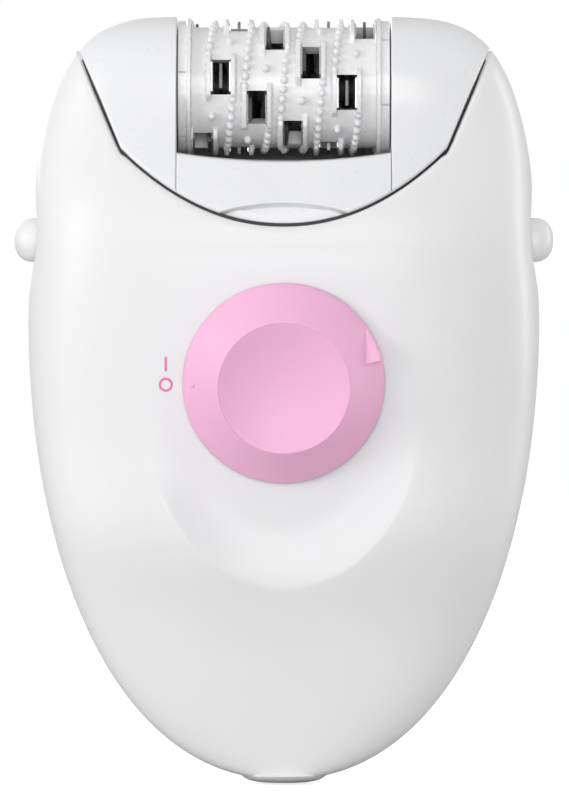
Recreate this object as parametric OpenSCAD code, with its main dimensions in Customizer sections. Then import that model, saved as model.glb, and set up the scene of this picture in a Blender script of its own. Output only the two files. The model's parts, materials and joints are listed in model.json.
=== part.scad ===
// Corded rotary epilator: two-part casing, turn knob, lift-off head and a tweezer drum.
// Millimetres. Z runs up from the power socket to the head, the knob faces -Y.

/* [Body] */
// Half of the body's greatest width
body_half_w = 37.2; // [35:0.1:40]
// Height of the widest level
wide_z = 70.2; // [66:0.1:74]
// Height of the whole epilator
total_h = 111.4; // [108:0.1:116]
// Greatest depth of the front half
front_depth = 16.7; // [15:0.1:18]
// Greatest depth of the rear half before its rest flat is cut
rear_depth = 21.7; // [20:0.1:23]
// Distance of the rear rest flat behind the parting plane
rest_y = 20.95; // [19.5:0.01:22]
// Half depth of the rounded top of the arms
cap_depth = 10.9; // [10.6:0.1:12]
// Thickness of the casing walls
wall = 1.8; // [1.6:0.1:2]
// Gap along every visible joint
seam = 0.4; // [0.2:0.05:0.5]

/* [Parting line] */
// Lowest height of the line between the head and the casing
part_z = 80.95; // [79:0.1:82]
// Distance from the middle at which the line turns upwards
kink_x = 23.6; // [22:0.1:25]
// Height of that turn
kink_z = 92; // [90:0.1:94]
// Distance from the middle at which the line leaves the outline
ear_x = 29.8; // [29:0.1:31]
// Height at which it does
ear_z = 106.6; // [105:0.1:108]

/* [Knob] */
// Radius of the knob
knob_r = 14.5; // [13:0.1:15.5]
// Radius of its hollow face
dish_r = 9.55; // [8:0.1:10.5]
// Height of the knob's axis on the casing
knob_z = 58.1; // [56:0.1:60]
// Distance of the flat that it sits on from the parting plane
knob_y = 14.05; // [13.6:0.05:14.4]
// How far the knob stands out
knob_h = 5.5; // [5:0.1:6]
// Downward lean of the knob's axis, in degrees
knob_lean = 9; // [6:0.5:11]

/* [Drum] */
// Height of the drum's axis
drum_z = 101.05; // [100:0.05:102]
// Radius over the drum's ribs
rib_r = 10.1; // [9.8:0.1:10.2]
// Radius of the bare drum
drum_r = 8.8; // [8.4:0.1:9]
// Distance of each arm's inner face from the middle
arm_x = 15.5; // [15.3:0.1:16]
// Distance between neighbouring tweezers along the drum
tweezer_pitch = 2.6; // [2.5:0.05:2.65]
// Turn from one tweezer to the next, in degrees
tweezer_step = 75; // [70:1:80]
// Width of a tweezer's window
window_w = 2.9; // [2.6:0.1:2.9]
// Length of the window around the drum
window_h = 5.1; // [4:0.1:5.5]
// Thickness of a tweezer plate
plate_t = 0.42; // [0.35:0.01:0.45]
// Greatest tilt of a tweezer plate, in degrees
tilt_max = 5.8; // [5:0.1:5.9]

/* [Release buttons] */
// Height of the buttons
button_z = 78.9; // [77:0.1:80]
// Radius of a button
button_r = 2.85; // [2.5:0.05:3.2]
// Distance of a button's tip from the middle
button_x = 39.2; // [39:0.1:39.6]
// Travel of a button
button_travel = 1.5; // [1:0.1:1.6]

/* [Gears and motor] */
// Gear module
gear_m = 0.5; // [0.5:0.1:0.5]
// Distance of the motor's axis behind the parting plane
motor_y = 4.5; // [4:0.1:5]
// Radius of the motor can
motor_r = 10.5; // [9:0.1:10.8]

/* [Power socket] */
// Radius of the socket's hole
socket_r = 2.9; // [2.7:0.05:3.1]
// Radius of its centre pin
pin_r = 1; // [0.8:0.05:1.2]

/* [Hidden] */
$fn = 48;
segs = 40;
boxiness = 2.9;
front_full_z = 78;
rear_full_z = 66;
arm_cap_h = total_h - drum_z;
cut = 60;
eps = 0.05;
part_power = 2.1;
part_rise = (kink_z - part_z) / pow(kink_x, part_power);
ear_slope = (ear_z - kink_z) / (ear_x - kink_x);
head_wall = 1.3;
drum_half = 15.1;
axle_r = 1;
bush_r = 1.6;
run = 0.05;
pivot_r = 0.45;
stations = 10;
// State of each tweezer's upper end at rest: -1 closed left, 0 open, 1 closed right
rest_state = [1, 0, 0, 1, 1, -1, -1, 0, 0, 0];
first_angle = -67;
teeth_pinion = 10;
teeth_big = 36;
teeth_small = 14;
teeth_head = 24;
teeth_drum = 30;
gear_t = 2;
drum_gear_x = -18.2;
big_gear_x = -20.8;
head_gear_z = drum_z - pitch_gap(teeth_drum, teeth_head);
reduction_z = head_gear_z - pitch_gap(teeth_head, teeth_small);
motor_z = reduction_z - sqrt(pow(pitch_gap(teeth_big, teeth_pinion), 2) - motor_y * motor_y);
pinion_dir = atan2(motor_z - reduction_z, motor_y);
head_phase = mesh_phase(-90, 0, teeth_drum, teeth_head);
small_phase = mesh_phase(-90, head_phase, teeth_head, teeth_small);
pinion_phase = mesh_phase(pinion_dir, 0, teeth_big, teeth_pinion);
leg_x = 26;
guide_x = 29.2;
socket_y = 1.2;
opening_side_z = 92.4;
opening_mid_z = 90.6;
plate_z = 38;
plate_y = 18.75;
plate_lean = 8.9;
screw_places = [[-27, 62], [27, 62], [-14, 24], [14, 24]];

// ---- Outline of the whole epilator ----

function half_w(z) = z <= wide_z
    ? body_half_w * pow(max(0, 1 - pow((wide_z - z) / (wide_z - 0.4), 2.2)), 1 / 2.2)
    : body_half_w * pow(max(0, 1 - pow((z - wide_z) / (total_h - wide_z), 2)), 0.14);
function lower_depth(z, full, full_z, length, power) =
    full * pow(max(0, 1 - pow((full_z - z) / length, power)), 1 / power);
function upper_depth(z, full, full_z) = z < drum_z
    ? cap_depth + (full - cap_depth) * (1 + cos(180 * (z - full_z) / (drum_z - full_z))) / 2
    : cap_depth * sqrt(max(0, 1 - pow((z - drum_z) / arm_cap_h, 2)));
function front_d(z) = z < front_full_z
    ? lower_depth(z, front_depth, front_full_z, 82, 1.3) + 2.2 * pow(max(0, 1 - z / 30), 2)
    : upper_depth(z, front_depth, front_full_z);
function rear_d(z) = z < rear_full_z
    ? lower_depth(z, rear_depth, rear_full_z, 68.5, 1.9)
    : upper_depth(z, rear_depth, rear_full_z);
function signed_power(v, p) = sign(v) * pow(abs(v), p);
function ring_point(z, a, inset) = [
    max(0.4, half_w(z) - inset) * signed_power(cos(a), 2 / boxiness),
    max(0.4, (sin(a) < 0 ? front_d(z) : rear_d(z)) - inset) * signed_power(sin(a), 2 / boxiness),
    z
];

// Closed solid through rings that lie closer together towards both ends
module loft(z_lo, z_hi, rings, inset) {
    points = [for (i = [0:rings], k = [0:segs - 1])
        ring_point(z_lo + (z_hi - z_lo) * (1 - cos(180 * i / rings)) / 2, 360 * k / segs, inset)];
    sides = [for (i = [0:rings - 1], k = [0:segs - 1], h = [0, 1])
        let (a = i * segs + k, b = i * segs + (k + 1) % segs)
        h == 0 ? [a, a + segs, b] : [b, a + segs, b + segs]];
    ends = [[for (k = [0:segs - 1]) k], [for (k = [segs - 1:-1:0]) rings * segs + k]];
    polyhedron(points = points, faces = concat(sides, ends), convexity = 4);
}

// ---- Line between the head and the casing ----

function part_line(x) = x <= kink_x
    ? part_z + part_rise * pow(x, part_power)
    : kink_z + ear_slope * (x - kink_x);
function part_slope(x) = x < kink_x - 0.1
    ? part_rise * part_power * pow(x, part_power - 1)
    : x > kink_x + 0.1 ? ear_slope : 1.5;
function part_point(x, grow) = let (s = part_slope(x), n = sqrt(1 + s * s))
    [x + grow * s / n, part_line(x) - grow / n];

// Everything above the line, moved out by grow
module head_region(grow) {
    half = [for (x = [for (i = [0:7]) kink_x * i / 7, 26.5, ear_x, 33.5]) part_point(x, grow)];
    left = [for (i = [len(half) - 1:-1:1]) [-half[i][0], half[i][1]]];
    rotate([90, 0, 0])
        linear_extrude(2 * cut, center = true)
            polygon(concat(left, half, [[34, 130], [-34, 130]]));
}

module front_half() {
    translate([-cut, -2 * cut - eps, -cut]) cube([2 * cut, 2 * cut, 4 * cut]);
}

module rear_half() {
    translate([-cut, eps, -cut]) cube([2 * cut, 2 * cut, 4 * cut]);
}

// Frame with X to the right, Y up the knob's flat and Z out along its axis
module at_knob() {
    translate([0, -knob_y, knob_z]) rotate([90 + knob_lean, 0, 0]) children();
}

// Cylinder between two places on an axis along X
module x_rod(x_lo, x_hi, r) {
    translate([x_lo, 0, 0]) rotate([0, 90, 0]) cylinder(h = x_hi - x_lo, r = r);
}

module at_drum() {
    translate([0, 0, drum_z]) children();
}

module at_motor() {
    translate([0, motor_y, motor_z]) children();
}

// ---- Casing ----

module shell_body() {
    difference() {
        loft(0.6, 108, 22, 0);
        head_region(seam);
        difference() {
            loft(3.4, 106, 14, wall);
            head_region(seam + wall);
        }
    }
}

// Holes and hollows that both halves share
module shell_cuts() {
    for (side = [-1, 1]) {
        translate([side * 66, 0, button_z]) rotate([90, 0, 0])
            cylinder(h = 2 * cut, r = 30, center = true, $fn = 96);
        translate([0, 0, button_z]) x_rod(side > 0 ? 32 : -45, side > 0 ? 45 : -32, button_r + 0.06);
        translate([side * leg_x - 1.2, -3.7, 86]) cube([2.4, 7.4, 20]);
    }
    translate([big_gear_x - 1.6, -10.2, 78]) cube([7.2, 20.4, 14]);
    translate([0, socket_y, -1]) cylinder(h = 8, r = 4.45);
}

module front_casing() {
    color("white") {
        difference() {
            intersection() {
                shell_body();
                front_half();
            }
            shell_cuts();
            at_knob() cylinder(h = 30, r = 45, $fn = 120);
            at_knob() translate([0, 0, -10]) cylinder(h = 12, r = 5 + run);
        }
        screw_posts(-1);
    }
}

module rear_casing() {
    color("white") difference() {
        union() {
            intersection() {
                shell_body();
                rear_half();
            }
            screw_posts(1);
        }
        shell_cuts();
        translate([-cut, rest_y, -cut]) cube([2 * cut, cut, 4 * cut]);
        at_rear_plate() translate([-13, -8, 0]) cube([26, 16, 5]);
        for (p = screw_places) translate([p[0], 0, p[1]]) rotate([-90, 0, 0]) {
            cylinder(h = cut, r = 1.2);
            translate([0, 0, post_back(p) - 3]) cylinder(h = cut, r = 2.4);
        }
    }
}

// Depth of a screw post in either half: its rim ends inside the curved wall
function side_share(p) = pow(1 - pow(abs(p[0]) / half_w(p[1]), boxiness), 1 / boxiness);
function post_back(p) = rear_d(p[1]) * side_share(p) - 2.2;
function post_front(p) = front_d(p[1]) * side_share(p) - 2.2;

module screw_posts(side) {
    for (p = screw_places) translate([p[0], 0, p[1]])
        rotate([side < 0 ? 90 : -90, 0, 0]) difference() {
            translate([0, 0, side < 0 ? -1.9 : 2])
                cylinder(h = side < 0 ? post_front(p) + 1.9 : post_back(p) - 2, r = 3.2);
            if (side < 0) translate([0, 0, -2]) cylinder(h = 7, r = 1.1);
        }
}

module casing_screws() {
    color("silver") for (p = screw_places) translate([p[0], 0, p[1]]) rotate([-90, 0, 0]) {
        translate([0, 0, -4]) cylinder(h = post_back(p) + 1, r = 1.05);
        translate([0, 0, post_back(p) - 3]) difference() {
            cylinder(h = 1.6, r = 2.2);
            translate([-0.3, -1.4, 0.7]) cube([0.6, 2.8, 2]);
            translate([-1.4, -0.3, 0.7]) cube([2.8, 0.6, 2]);
        }
    }
}

// Frame of the blank plate let into the back, with Z out of the casing
module at_rear_plate() {
    translate([0, plate_y - 0.55, plate_z]) rotate([-90 - plate_lean, 0, 0]) children();
}

module rear_plate() {
    color("gainsboro") at_rear_plate() translate([-12.8, -7.8, 0.03]) cube([25.6, 15.6, 0.5]);
}

// Plates that hold the inner ends of the release buttons and their springs
module button_guides() {
    color("white") for (side = [-1, 1]) difference() {
        translate([side * guide_x - 0.5, -4.5, button_z - 4.5]) cube([1, 14.7, 9]);
        translate([0, 0, button_z]) x_rod(side * guide_x - 2, side * guide_x + 2, 1.25);
    }
}

// ---- Knob and switch ----

module control_knob() {
    color("hotpink") at_knob() rotate_extrude($fn = 96) polygon([
        [0, 1.2], [knob_r - 1.6, 1.2], [knob_r - 1.6, 0.3], [knob_r, 0.3], [knob_r, 1.1],
        [knob_r - 0.25, 1.4], [dish_r + 0.15, knob_h - 0.12], [dish_r - 0.15, knob_h],
        [dish_r - 1.2, knob_h - 0.75], [dish_r - 4, knob_h - 1.4], [0, knob_h - 1.7]
    ]);
}

// Hub that turns in the casing, with the peg that moves the switch
module knob_shaft() {
    color("white") at_knob() {
        translate([0, 0, -2.6]) cylinder(h = 3.75, r = 5);
        translate([-1.1, -9, -2.6]) cube([2.2, 9, 0.7]);
        translate([0, -8, -4.6]) cylinder(h = 2.1, r = 0.9);
    }
}

module switch_slider() {
    color("black") at_knob() translate([0, -8, -4.7]) difference() {
        translate([-2.2, -2, -1.2]) cube([4.4, 4, 2.4]);
        translate([-1, -3, -0.2]) cube([2, 6, 3]);
    }
}

module switch_body() {
    color("dimgray") at_knob() translate([0, -8, -8.1]) difference() {
        translate([-5.5, -3, 0]) cube([11, 6, 3]);
        translate([-3.8, -2.1, 2]) cube([6.2, 4.2, 3]);
    }
}

// ---- Electrics ----

module circuit_board() {
    color("seagreen") at_knob() translate([-13, -30, -9.2]) cube([26, 24.5, 1]);
}

module board_parts() {
    color("dimgray") at_knob() translate([0, 0, -8.15]) {
        translate([-9, -24, 0]) cylinder(h = 3, r = 2.4);
        translate([-3, -26, 0]) cube([6, 5, 1.4]);
        translate([6, -27, 0]) cube([4, 3, 1]);
        translate([6, -21, 0]) cube([4, 3, 1]);
        translate([-11.5, -16, 0]) cube([3, 5, 1.2]);
    }
}

module power_socket() {
    color("lightgray") translate([0, socket_y, 0]) difference() {
        rotate_extrude() polygon([
            [0, 0], [3.9, 0], [4.2, 0.15], [4.4, 0.7], [4.4, 3], [3.9, 3.4], [3.9, 12], [0, 12]
        ]);
        translate([0, 0, -1]) cylinder(h = 10.5, r = socket_r);
        cylinder(h = 11, r = pin_r + 0.02);
    }
}

module socket_pins() {
    color("gold") translate([0, socket_y, 0]) {
        translate([0, 0, 2.5]) cylinder(h = 8.4, r = pin_r);
        for (side = [-1, 1]) translate([side * 2 - 0.3, -0.8, 12.05]) cube([0.6, 1.6, 2.4]);
    }
}

function unit(v) = v / norm(v);

// A wire swept along its route, with eight sides
module wire(route, r) {
    last = len(route) - 1;
    points = [for (i = [0:last]) let (
            t = unit(route[min(i + 1, last)] - route[max(i - 1, 0)]),
            u = unit(cross(t, [1, 0, 0])),
            v = cross(t, u)
        ) for (k = [0:7]) route[i] + r * (cos(45 * k) * u + sin(45 * k) * v)];
    sides = [for (i = [0:last - 1], k = [0:7], h = [0, 1])
        let (a = 8 * i + k, b = 8 * i + (k + 1) % 8) h == 0 ? [a, b, a + 8] : [b, b + 8, a + 8]];
    polyhedron(points, concat(sides, [[for (k = [7:-1:0]) k], [for (k = [0:7]) 8 * last + k]]));
}

module power_wires() {
    for (side = [-1, 1]) color(side < 0 ? "red" : "black") {
        wire([[side * 2, 2.65, 12.2], [side * 3, 2.8, 16], [side * 5, 3, 22], [side * 5, 1.4, 28],
            [side * 5, 0.3, 31.5]], 0.6);
        wire([[7 + 2 * side, -1.95, 45], [10 + side, -0.5, 48], [15.3, motor_y + 2 * side, 53],
            [15.3, motor_y + 5 * side, 58], [15.3, motor_y + 5 * side, 62]], 0.6);
    }
}

// ---- Motor ----

module motor_can() {
    color("silver") at_motor() difference() {
        union() {
            x_rod(-14, 12, motor_r);
            x_rod(-15.6, -13, 3);
        }
        x_rod(-13, 13, motor_r - 0.6);
        x_rod(-17, 0, axle_r + run);
    }
}

module motor_magnets() {
    color("dimgray") at_motor() difference() {
        x_rod(-10, 9, motor_r - 0.65);
        x_rod(-11, 10, motor_r - 2.2);
        translate([-12, -2, -13]) cube([24, 4, 26]);
    }
}

module motor_end_cap() {
    color("white") at_motor() difference() {
        union() {
            x_rod(10.6, 12.1, motor_r - 0.65);
            x_rod(12.03, 14.6, motor_r - 0.3);
            x_rod(14, 16.2, 3);
        }
        x_rod(0, 20, axle_r + run);
    }
}

module motor_armature() {
    color("sienna") at_motor() difference() {
        union() {
            x_rod(-9, 7, 4.2);
            for (i = [0:2]) rotate([120 * i, 0, 0]) {
                translate([-9, -1.4, 0]) cube([16, 2.8, motor_r - 4]);
                intersection() {
                    x_rod(-9, 7, motor_r - 2.6);
                    translate([-9, -5, motor_r - 4.2]) cube([16, 10, 4]);
                }
            }
            x_rod(7, 10, 2.6);
        }
        x_rod(-12, 12, axle_r);
    }
}

module motor_shaft() {
    color("silver") at_motor() x_rod(-22.2, 15.8, axle_r);
}

// Saddle that holds the motor, with an ear for the reduction gear's pin
module motor_cradle() {
    color("whitesmoke") difference() {
        union() {
            at_motor() translate([-14.2, 1, -13]) cube([23, 13, 10]);
            translate([-16.5, -4, reduction_z - 23.5]) cube([2.4, 16, 26.5]);
        }
        at_motor() x_rod(-14.12, 14, motor_r + 0.05);
        translate([0, 0, reduction_z]) x_rod(-17, -13, 1.2);
        at_motor() x_rod(-16.9, -13, 3.3);
    }
}

// ---- Gears ----

function pitch_gap(a, b) = gear_m * (a + b) / 2;
function wrap(v) = v - floor(v);
// Turn of a gear whose teeth fit those of its neighbour in the given direction
function mesh_phase(dir, own, teeth_own, teeth_next) =
    dir + 180 - 360 / teeth_next * (0.5 - wrap((dir - own) * teeth_own / 360));
function inv_angle(a) = tan(a) * 180 / PI - a;
function flank_angle(teeth, r) = let (base = gear_m * teeth / 2 * cos(20))
    76 / teeth + inv_angle(20) - (r > base ? inv_angle(acos(base / r)) : 0);

module gear(teeth, thickness, phase) {
    pitch_r = gear_m * teeth / 2;
    root = pitch_r - 1.05 * gear_m;
    levels = [for (i = [0:3]) pitch_r + gear_m * (-0.5 + 1.2 * i / 3)];
    tooth = concat([root], levels);
    outline = [for (t = [0:teeth - 1]) let (c = phase + 360 * t / teeth)
        each concat(
            [for (r = tooth) let (a = c - flank_angle(teeth, r)) r * [cos(a), sin(a)]],
            [for (i = [len(tooth) - 1:-1:0]) let (r = tooth[i], a = c + flank_angle(teeth, r))
                r * [cos(a), sin(a)]]
        )];
    rotate([90, 0, 90]) linear_extrude(thickness, center = true) polygon(outline);
}

module motor_pinion() {
    color("gold") at_motor() difference() {
        translate([big_gear_x, 0, 0]) gear(teeth_pinion, gear_t + 0.4, pinion_phase);
        x_rod(-24, 0, axle_r);
    }
}

module reduction_gear() {
    color("white") translate([0, 0, reduction_z]) difference() {
        union() {
            translate([big_gear_x, 0, 0]) gear(teeth_big, gear_t - 0.2, 0);
            translate([drum_gear_x + 0.1, 0, 0]) gear(teeth_small, gear_t + 0.6, small_phase);
            x_rod(big_gear_x, drum_gear_x, 2.6);
        }
        x_rod(-24, -15, 1.2 + run);
    }
}

module reduction_pin() {
    color("silver") translate([0, 0, reduction_z]) x_rod(-22.4, -14.2, 1.2);
}

module head_gear() {
    color("white") translate([drum_gear_x, 0, head_gear_z]) difference() {
        gear(teeth_head, gear_t, head_phase);
        x_rod(-5, 5, 1.2 + run);
    }
}

module head_gear_pin() {
    color("silver") translate([0, 0, head_gear_z]) x_rod(-19.5, -arm_x, 1.2);
}

// ---- Head ----

// Outline of an arm's inner wall, seen from the side
module arm_plate(side) {
    foot = 88.3;
    top = [for (i = [0:16]) foot + (total_h - 1.6 - foot) * sin(90 * i / 16)];
    front = [for (z = top) [-plate_reach(front_d(z)), z]];
    back = [for (i = [16:-1:0]) [plate_reach(rear_d(top[i])), top[i]]];
    translate([side * (arm_x + 0.6), 0, 0]) rotate([90, 0, 90])
        linear_extrude(1.2, center = true) polygon(concat(front, back));
}
function plate_reach(d) = max(1, d * 0.95 - head_wall - 0.2);

module head_frame() {
    color("whitesmoke") difference() {
        union() {
            for (side = [-1, 1]) arm_plate(side);
            translate([-arm_x - 0.1, -11, 87.1]) cube([2 * arm_x + 0.2, 22, 1.4]);
            translate([0, 0, head_gear_z]) x_rod(-arm_x - 1.2, -arm_x, 2.2);
        }
        at_drum() x_rod(-19, -15, 3.9);
        at_drum() x_rod(15, 19, axle_r);
        translate([0, 0, head_gear_z]) x_rod(-19, -15, 1.2);
    }
}

module head_shell() {
    difference() {
        intersection() {
            loft(79, total_h - 0.05, 16, 0);
            head_region(0);
        }
        intersection() {
            loft(79, total_h - head_wall, 12, head_wall);
            head_region(-head_wall);
        }
    }
}

module latch_pocket(side) {
    translate([side * leg_x - 0.65, -3.05, 86]) cube([1.3, 6.1, 13.3]);
}

module head_cover(side) {
    difference() {
        intersection() {
            head_shell();
            translate([side > 0 ? arm_x + 0.1 : -cut - arm_x - 0.1, -cut, 0]) cube([cut, 2 * cut, 2 * cut]);
        }
        latch_pocket(side);
        if (side < 0) translate([drum_gear_x - 1.5, -6.8, 80]) cube([4.3, 13.6, 14]);
    }
}

// The left cover also carries the gear end of the drum's axle
module head_cover_left() {
    color("white") difference() {
        union() {
            head_cover(-1);
            at_drum() x_rod(-leg_x - 0.2, -19.7, 2.6);
        }
        latch_pocket(-1);
        at_drum() x_rod(-20.5, -19, axle_r);
    }
}

module head_cover_right() {
    color("white") head_cover(1);
}

// Space in front of the drum: its lower edge sags towards the middle
module drum_opening(grow) {
    sag = opening_side_z - opening_mid_z;
    edge = [for (i = [-8:8]) [arm_x * i / 8, opening_mid_z - grow + sag * pow(i / 8, 2)]];
    rotate([90, 0, 0]) linear_extrude(2 * cut, center = true)
        polygon(concat([[-cut, opening_side_z - grow]], edge, [[cut, opening_side_z - grow]],
            [[cut, 130], [-cut, 130]]));
}

// Lens-shaped thumb notch at the lower edge of the front panel
module notch_prism() {
    rotate([90, 0, 0]) linear_extrude(cut) intersection() {
        translate([0, 83.8 - 25]) circle(25, $fn = 120);
        translate([0, 80.9 + 35]) circle(35, $fn = 120);
    }
}

module head_panel(side) {
    intersection() {
        difference() {
            head_shell();
            drum_opening(0);
        }
        translate([-arm_x + 0.1, side > 0 ? eps : -cut, 0]) cube([2 * arm_x - 0.2, cut - eps, cut * 2]);
    }
}

module head_front_panel() {
    color("white") difference() {
        head_panel(-1);
        translate([0, -front_depth + 0.7, 0]) notch_prism();
    }
}

module head_rear_panel() {
    color("white") head_panel(1);
}

// Legs that hook the head into the casing
module head_latches() {
    color("whitesmoke") for (side = [-1, 1]) {
        translate([side * leg_x - 0.6, -3, 77]) cube([1.2, 6, 22.2]);
        translate([side * (leg_x + 0.6) - 0.4, -3, 86.2]) cube([0.8, 6, 1.4]);
    }
}

// Rings on the arms that tilt the tweezer plates as the drum turns
module closing_cams() {
    color("dimgray") at_drum() for (side = [-1, 1]) difference() {
        x_rod(side > 0 ? 15.1 : -15.45, side > 0 ? 15.45 : -15.1, 7.4);
        x_rod(-20, 20, 4.4);
    }
}

module drum_axle() {
    color("silver") at_drum() x_rod(-20.4, 16.7, axle_r);
}

// ---- Drum ----

function station_x(i) = tweezer_pitch * (i - (stations - 1) / 2);
function station_angle(i) = first_angle + tweezer_step * i;

// Frame of one tweezer: Z runs out through its upper end, X along the drum
module at_station(i) {
    at_drum() translate([station_x(i), 0, 0]) rotate([90 - station_angle(i), 0, 0]) children();
}

module drum_shell() {
    color("white") difference() {
        at_drum() difference() {
            x_rod(-13.4, 13.4, drum_r);
            x_rod(-12.6, 12.6, 6.6);
            x_rod(-20, 20, bush_r);
        }
        for (i = [0:stations - 1]) at_station(i) {
            cube([window_w, window_h, 30], center = true);
            rotate([90, 0, 0]) cylinder(h = 15.2, r = pivot_r + run, center = true);
        }
    }
}

// Raised bars beside each window; the end rings take their place at both ends
module drum_ribs() {
    bar_x = window_w / 2 + 0.5;
    color("white") for (i = [0:stations - 1], side = [-1, 1], end = [0, 180])
        if (abs(station_x(i) + side * bar_x) < 13)
            at_station(i) rotate([end, 0, 0])
                translate([side * bar_x - 0.4, -window_h / 2, drum_r - 0.8])
                    cube([0.8, window_h, rib_r - drum_r + 0.5]);
}

module drum_end_rings() {
    color("white") at_drum() for (side = [-1, 1]) difference() {
        x_rod(side > 0 ? 13.42 : -14.6, side > 0 ? 14.6 : -13.42, rib_r);
        x_rod(-20, 20, bush_r + 2);
    }
}

module drum_gear() {
    color("white") at_drum() difference() {
        union() {
            translate([drum_gear_x, 0, 0]) gear(teeth_drum, gear_t, 0);
            x_rod(-18, -13.42, bush_r + 1.9);
        }
        x_rod(-20, -10, bush_r);
    }
}

module drum_bushes() {
    color("goldenrod") at_drum() for (side = [-1, 1]) difference() {
        x_rod(side > 0 ? 12.6 : -19.2, side > 0 ? 15.2 : -12.6, bush_r - 0.01);
        x_rod(-22, 22, axle_r + run);
    }
}

// Steel cheeks in the side walls of each window
module fixed_plates() {
    color("gray") for (i = [0:stations - 1], side = [-1, 1], end = [0, 180])
        at_station(i) rotate([end, 0, 0])
            translate([side * (window_w / 2 - 0.12) - 0.1, -window_h / 2 + 0.4, 6.9])
                cube([0.2, window_h - 0.8, 2.2]);
}

// A rocking plate: both its ends reach out through windows, and its two pivots sit in the drum's wall
module tweezer(i) {
    color("silver") at_station(i) rotate([0, rest_state[i] * tilt_max, 0]) difference() {
        union() {
            x_rod(-plate_t / 2, plate_t / 2, 5);
            cube([plate_t, 3.6, 19], center = true);
            rotate([90, 0, 0]) cylinder(h = 14.6, r = pivot_r, center = true);
        }
        x_rod(-2, 2, bush_r + 0.6);
    }
}

// ---- Release buttons ----

module release_button(side) {
    color("white") mirror([side < 0 ? 1 : 0, 0, 0]) translate([0, 0, button_z])
        rotate([0, 90, 0]) rotate_extrude() polygon(concat(
            [[0, 28.4], [1.15, 28.4], [1.15, 32.6], [3.6, 32.6], [3.6, 33.6], [button_r, 33.6]],
            [for (a = [0:15:75]) [button_r * cos(a), button_x - 2.2 + 2.2 * sin(a)]],
            [[0, button_x]]
        ));
}

module release_button_left() {
    release_button(-1);
}

module release_button_right() {
    release_button(1);
}

module release_spring(side) {
    turns = 3;
    color("silver") translate([0, 0, button_z]) for (i = [0:turns - 1])
        translate([side * (30.15 + 0.95 * i), 0, 0]) rotate([0, 90, 0])
            rotate_extrude($fn = 32) translate([2, 0]) circle(0.28, $fn = 16);
}

module release_spring_left() {
    release_spring(-1);
}

module release_spring_right() {
    release_spring(1);
}

front_casing();
rear_casing();
casing_screws();
rear_plate();
button_guides();
control_knob();
knob_shaft();
switch_body();
switch_slider();
circuit_board();
board_parts();
power_socket();
socket_pins();
power_wires();
motor_can();
motor_magnets();
motor_end_cap();
motor_cradle();
motor_armature();
motor_shaft();
motor_pinion();
reduction_gear();
reduction_pin();
head_frame();
head_cover_left();
head_cover_right();
head_front_panel();
head_rear_panel();
head_latches();
head_gear();
head_gear_pin();
closing_cams();
drum_axle();
drum_shell();
drum_ribs();
drum_end_rings();
drum_gear();
drum_bushes();
fixed_plates();
for (i = [0:stations - 1]) tweezer(i);
release_button_left();
release_button_right();
release_spring_left();
release_spring_right();
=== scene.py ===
"""Epilator: fine shells, knob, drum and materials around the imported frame."""

import json
import math

import bmesh
import bpy
import numpy as np
from mathutils import Matrix, Vector


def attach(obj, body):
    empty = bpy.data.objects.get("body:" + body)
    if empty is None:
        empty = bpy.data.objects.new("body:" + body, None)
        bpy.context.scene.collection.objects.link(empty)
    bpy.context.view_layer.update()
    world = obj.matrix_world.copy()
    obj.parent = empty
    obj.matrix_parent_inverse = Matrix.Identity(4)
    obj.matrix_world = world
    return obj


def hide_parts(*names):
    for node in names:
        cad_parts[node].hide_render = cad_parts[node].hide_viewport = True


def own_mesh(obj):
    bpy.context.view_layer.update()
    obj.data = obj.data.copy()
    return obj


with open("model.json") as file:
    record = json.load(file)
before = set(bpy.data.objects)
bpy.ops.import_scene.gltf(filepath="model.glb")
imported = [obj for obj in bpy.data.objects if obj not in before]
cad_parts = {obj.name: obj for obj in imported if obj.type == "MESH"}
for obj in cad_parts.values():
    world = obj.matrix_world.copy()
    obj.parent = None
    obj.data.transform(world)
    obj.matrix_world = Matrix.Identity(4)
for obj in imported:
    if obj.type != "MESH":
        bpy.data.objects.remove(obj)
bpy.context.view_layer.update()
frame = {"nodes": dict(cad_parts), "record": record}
nodes = frame["nodes"]
scene = bpy.context.scene

MM = 0.001
MERGE = 1e-6

# ---------------------------------------------------------------- sizes, in millimetres
# The outline follows the same rules as the CAD outline.
HALF_W = 37.2
WIDE_Z = 70.2
TOTAL_H = 111.4
FRONT_DEPTH = 16.7
FRONT_FULL_Z = 78.0
REAR_DEPTH = 21.7
REAR_FULL_Z = 66.0
CAP_DEPTH = 10.9
DRUM_Z = 101.05
BOXINESS = 2.9
LOW_POWER = 2.2
HIGH_POWER = 0.14
REST_Y = 20.93
FOOT_Z = 0.62
WALL = 1.7
HEAD_WALL = 1.2
SEAM = 0.5
HALF_SEAM = 0.04

PART_Z = 80.95
KINK_X = 23.6
KINK_Z = 92.0
EAR_X = 29.8
EAR_Z = 106.6
PART_POWER = 2.1
PART_RISE = (KINK_Z - PART_Z) / KINK_X ** PART_POWER
EAR_SLOPE = (EAR_Z - KINK_Z) / (EAR_X - KINK_X)

KNOB_Z = 58.1
KNOB_Y = 14.05
KNOB_LEAN = math.radians(9)
KNOB_R = 14.5
KNOB_H = 5.5
KNOB_UNDER = 0.3
KNOB_EDGE = 1.35
KNOB_HOLE_R = 5.1
DISH_R = 9.4
DISH_DEPTH = 1.75

ARM_X = 15.5
DRUM_R = 8.8
DRUM_BORE_R = 6.6
DRUM_HALF = 13.4
PITCH = 2.6
FIRST_ANGLE = -67
TURN_STEP = 75
STATIONS = 10
WINDOW_W = 2.9
WINDOW_H = 5.1

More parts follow.
